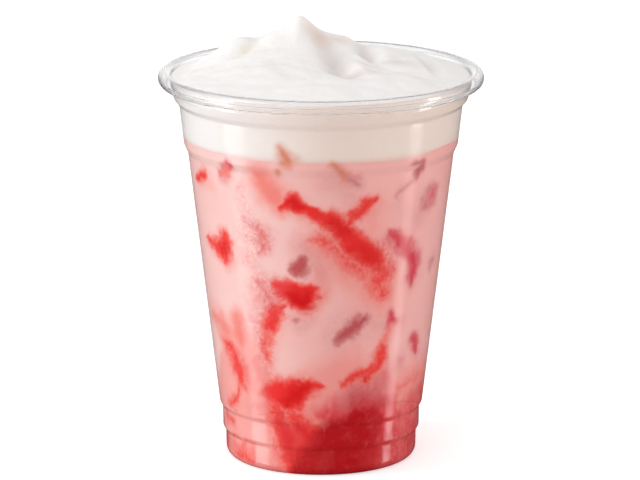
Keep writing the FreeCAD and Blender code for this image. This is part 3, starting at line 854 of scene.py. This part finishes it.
def drink_finish(name):
    """The painted drink. Each layer's amount is pushed up and down by noise before its use."""
    made, tree, output = new_tree(name)
    where = objects_own(tree)
    fine = noise(tree, where, 900.0, 3.0, roughness=0.6)
    mid = noise(tree, where, 260.0, 2.0, distortion=0.6)
    slow = noise(tree, where, 45.0, 2.0)
    fine_push, mid_push = (maths(tree, "SUBTRACT", wave, 0.5) for wave in (fine, mid))

    def broken(layer, by_mid, by_fine, share=None):
        """The layer's amount, pushed by the middle and the fine noise where there is any
        paint at all, and then times share."""
        amount = painted(tree, layer)
        push = maths(tree, "MULTIPLY", fine_push, by_fine)
        push = maths(tree, "MULTIPLY_ADD", mid_push, by_mid, push)
        there = maths(tree, "MULTIPLY", amount, 3.0, clamp=True)
        amount = maths(tree, "MULTIPLY_ADD", push, there, amount, clamp=True)
        return amount if share is None else maths(tree, "MULTIPLY", amount, share)

    # painted light: paler pink on the lit left, deeper pink elsewhere
    colour = blend(tree, painted(tree, "rose_outside_painted_light"), PINK_PAINTED_LIGHT, PINK_RIGHT)
    colour = blend(tree, ramp(tree, slow, 0.35, 0.7, 0, 0.14), colour, SALMON)
    colour = blend(tree, broken("mist", 0.3, 0.1, 0.6), colour, MIST)
    colour = blend(tree, broken("salmon", 0.3, 0.15, 0.85), colour, SALMON)
    colour = blend(tree, broken("cloud", 0.6, 0.45), colour, CLOUD)
    colour = blend(tree, broken("brown", 0.3, 0.4), colour, BROWN)
    for layer, tones in TONES.items():
        amount = broken(layer, 0.28, 0.45)
        for low, high, tone in tones:
            colour = blend(tree, ramp(tree, amount, low, high), colour, tone)
    colour = blend(tree, broken("deep", 0.3, 0.4), colour, DEEP)
    colour = blend(tree, broken("puree", 0.55, 0.45), colour, PUREE)
    colour = blend(tree, broken("speckle", 0.8, 1.4, 0.75), colour, SPECKLE)
    pulp = add(tree, "ShaderNodeBump", {"Height": mid, "Strength": 0.1, "Distance": 0.0003})
    skin = add(
        tree,
        "ShaderNodeBsdfPrincipled",
        {
            "Base Color": colour,
            "Roughness": 0.6,
            "Specular IOR Level": 0.08,
            "Normal": pulp.outputs[0],
        },
    )
    tree.links.new(skin.outputs[0], output.inputs["Surface"])
    return made


for layer, amount in wall_paint(*places_of(milk)).items():
    paint(milk, layer, amount)
milk.data.materials.append(drink_finish("strawberry_milk_finish"))
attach(milk, "root")
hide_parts("strawberry_milk")
print("milk painted")

# %% [markdown]
# ## The puree
# It fills the foot of the cup down to the raised middle of the bottom. So its profile first
# follows the sheet, a tenth of a millimetre into it, then the wall, and last the level that
# it shares with the milk.

# %% The puree's skin
in_foot = (drink_z < 10) & (drink_r < 31)
foot_r, foot_z = drink_line[in_foot].T
up_the_wall = np.linspace(0, 1, 26)[1:, None]
side_z = foot_z[-1] + (low - foot_z[-1]) * up_the_wall
side_r = drink_radius(side_z)
puree = ring_skin(
    "strawberry_puree_body",
    np.concatenate([np.outer(foot_r, all_round), side_r, bottom_r[::-1]]),
    np.concatenate([np.outer(foot_z, all_round), side_z, bottom_z[::-1]]),
    ROUND,
)
for layer, amount in wall_paint(*places_of(puree)).items():
    paint(puree, layer, amount)
puree.data.materials.append(drink_finish("strawberry_puree_finish"))
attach(puree, "root")
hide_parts("strawberry_puree")
print("puree painted")

# %% [markdown]
# ## The foam
# Spooned milk foam is soft but holds its shape. Its folds could be sculpted by hand. Here
# its top is the CAD model's heap, with finer folds and ripples from noise added, so that it
# is the same in each run. They fade out near the wall.


# %% The foam's skin
FADE_FROM, FADE_OVER = 0.5, 5    # mm inside the edge of the foam, and over how many mm


def foam_detail(r, a):
    """Small folds in mm: 0.40 x soft noise with lumps of 5 by 3.2 mm, bent by up to 3 mm of a
    slow one, plus 0.10 x noise with lumps of 1.5 mm, fading towards the wall. The whole
    numbers added to the places keep them on the positive side of the noise's table."""
    x, y = r * np.sin(a), -r * np.cos(a)
    bend = 3 * soft_noise(x / 14 + 60, y / 14 + 60, 31)
    folds = soft_noise((x + bend) / 5.0 + 90, (y - bend) / 3.2 + 90, 32)
    grain = soft_noise(x / 1.5 + 100, y / 1.5 + 100, 33)
    return ease((FOAM_RADIUS - FADE_FROM - r) / FADE_OVER) * (0.40 * folds + 0.10 * grain)


up_the_wall = np.concatenate([[0.004], np.linspace(0, 1, 24)[1:-1], [0.996]])[:, None]
side_z = high + (FOAM_EDGE - high) * up_the_wall
side_r = np.minimum(drink_radius(side_z), FOAM_RADIUS + INTO_WALL)
heap_r = np.outer(np.linspace(1, 0, 92), all_round) * (FOAM_RADIUS + INTO_WALL)
heap_z = foam_top(heap_r, a) + foam_detail(heap_r, a)
foam = ring_skin(
    "milk_foam_heap",
    np.concatenate([top_r[::-1], side_r, heap_r]),
    np.concatenate([top_z[::-1], side_z, heap_z]),
    ROUND,
)

# %% [markdown]
# On the wall the foam has a warm cast, painted as shade: faint on the lit left and full at the
# front and right. It also has a blush just above the milk, and the brown crumbs. On top, painted
# shade darkens a few spots: the right face of the peak, a hollow in the left lobe, and the trough
# and its creases. Bubbles too small for the mesh are a fine bump, and a little light passes through
# the foam's outermost millimetres.

# %% The foam's paint
# painted shade with a warm cast on the foam's wall: its strength at each azimuth, faint on the lit
# left
SHADE = [(-180, 0.7), (-90, 0.25), (-50, 0.1), (-15, 0.65), (5, 1), (80, 1), (120, 0.9), (180, 0.7)]
BLUSH, BLUSH_TOP, BLUSH_OVER = 0.85, 101.0, 3.0    # strength, and the heights in mm
# painted shade on the top, in spots: x, y, half length, half width in mm, turn in degrees, strength
FOAM_SHADE_SPOTS = {
    "warm_shade": [(-0.4, 3.2, 4.4, 2.2, 20, 0.95), (5.0, 5.5, 4.5, 1.6, 10, 0.6)],
    "straw_shade": [(-22.5, -0.5, 3.0, 1.8, 30, 0.75), (-18.5, 4.0, 2.4, 1.3, 20, 0.4)],
    "lilac_shade": [
        (4.0, -4.0, 8.0, 4.4, 118, 0.85), (9.5, -14.0, 8.5, 3.2, 150, 0.8),
        (13.5, 3.0, 6.0, 2.6, 118, 0.8), (31.0, -1.0, 5.5, 2.6, 105, 0.7),
        (23.6, 0, 5.0, 3.8, 0, 0.35), (23.5, -5.5, 7.0, 2.6, 172, 0.65),
        (16.0, -9.0, 7.0, 1.5, 150, 0.5), (-16.0, -14.0, 6.0, 2.0, 160, 0.25),
        (30, -20, 6.0, 2.0, 150, 0.3),
    ],
}
angle, height, radius = places_of(foam)
flat_x, flat_y = radius * np.sin(np.radians(angle)), -radius * np.cos(np.radians(angle))
# 1 within 0.2 mm of the wall and 0 from 0.6 mm inside it
on_wall = ease((radius - drink_radius(np.clip(height, 6, 117)) + 0.6) / 0.4)
paint(foam, "brown", wall_paint(angle, height, radius)["brown"] * on_wall)
paint(foam, "blush", BLUSH * ease((BLUSH_TOP - height) / BLUSH_OVER) * on_wall)
# the wall's painted shade, faint where the left lamp falls
paint(foam, "shade", round_cup(angle, SHADE) * on_wall)
# painted shade in spots on the foam's top, kept off the wall
for tint_and_shade, spots in FOAM_SHADE_SPOTS.items():
    total = np.zeros(len(flat_x))
    for x, y, long, wide, turn, strength in spots:
        c, t = np.cos(np.radians(turn)), np.sin(np.radians(turn))
        along = (flat_x - x) * c + (flat_y - y) * t
        across = (flat_y - y) * c - (flat_x - x) * t
        spot = np.exp(-((along / long) ** 2) - (across / wide) ** 2)
        total = np.maximum(total, strength * spot)
    paint(foam, tint_and_shade, total * (1 - on_wall))
print("foam painted with", *FOAM_SHADE_SPOTS, "on top")

# %% The foam's finish
FOAM_COLOURS = linear(250, 247, 246), linear(244, 241, 240)
# the blush and the brown crumbs are the foam's own colour; the other four colours are painted shade
FOAM_TINTS_AND_SHADE = {
    "straw_shade": linear(229, 222, 206),
    "warm_shade": linear(228, 206, 195),
    "lilac_shade": linear(220, 212, 210),
    "shade": linear(246, 226, 215),
    "blush": linear(243, 182, 170),
    "brown": BROWN,
}
bubbly, tree, output = new_tree("milk_foam_finish")
where = objects_own(tree)
bubbles = add(tree, "ShaderNodeTexVoronoi", {"Vector": where, "Scale": 1500.0})
froth = noise(tree, where, 420.0, 4.0, roughness=0.6)
rise = maths(tree, "MULTIPLY_ADD", bubbles.outputs["Distance"], 0.25, froth)
bump = add(tree, "ShaderNodeBump", {"Height": rise, "Strength": 0.35, "Distance": 0.0006})
colour = blend(tree, noise(tree, where, 60.0, 2.0), *FOAM_COLOURS)
for tint_and_shade, tone in FOAM_TINTS_AND_SHADE.items():
    colour = blend(tree, painted(tree, tint_and_shade), colour, tone)
skin = add(
    tree,
    "ShaderNodeBsdfPrincipled",
    {
        "Base Color": colour,
        "Roughness": 0.75,
        "Specular IOR Level": 0.25,
        "Subsurface Weight": 0.2,
        "Subsurface Radius": (0.0022, 0.0016, 0.0013),
        "Subsurface Scale": 1.0,
        "Normal": bump.outputs[0],
    },
)
tree.links.new(skin.outputs[0], output.inputs["Surface"])
foam.data.materials.append(bubbly)
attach(foam, "root")
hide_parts("milk_foam")
print("foam finished")

# %% [markdown]
# ## Last settings
# Colours are shown as written, with the Standard view.

# %% Finish
bpy.context.scene.view_settings.view_transform = "Standard"
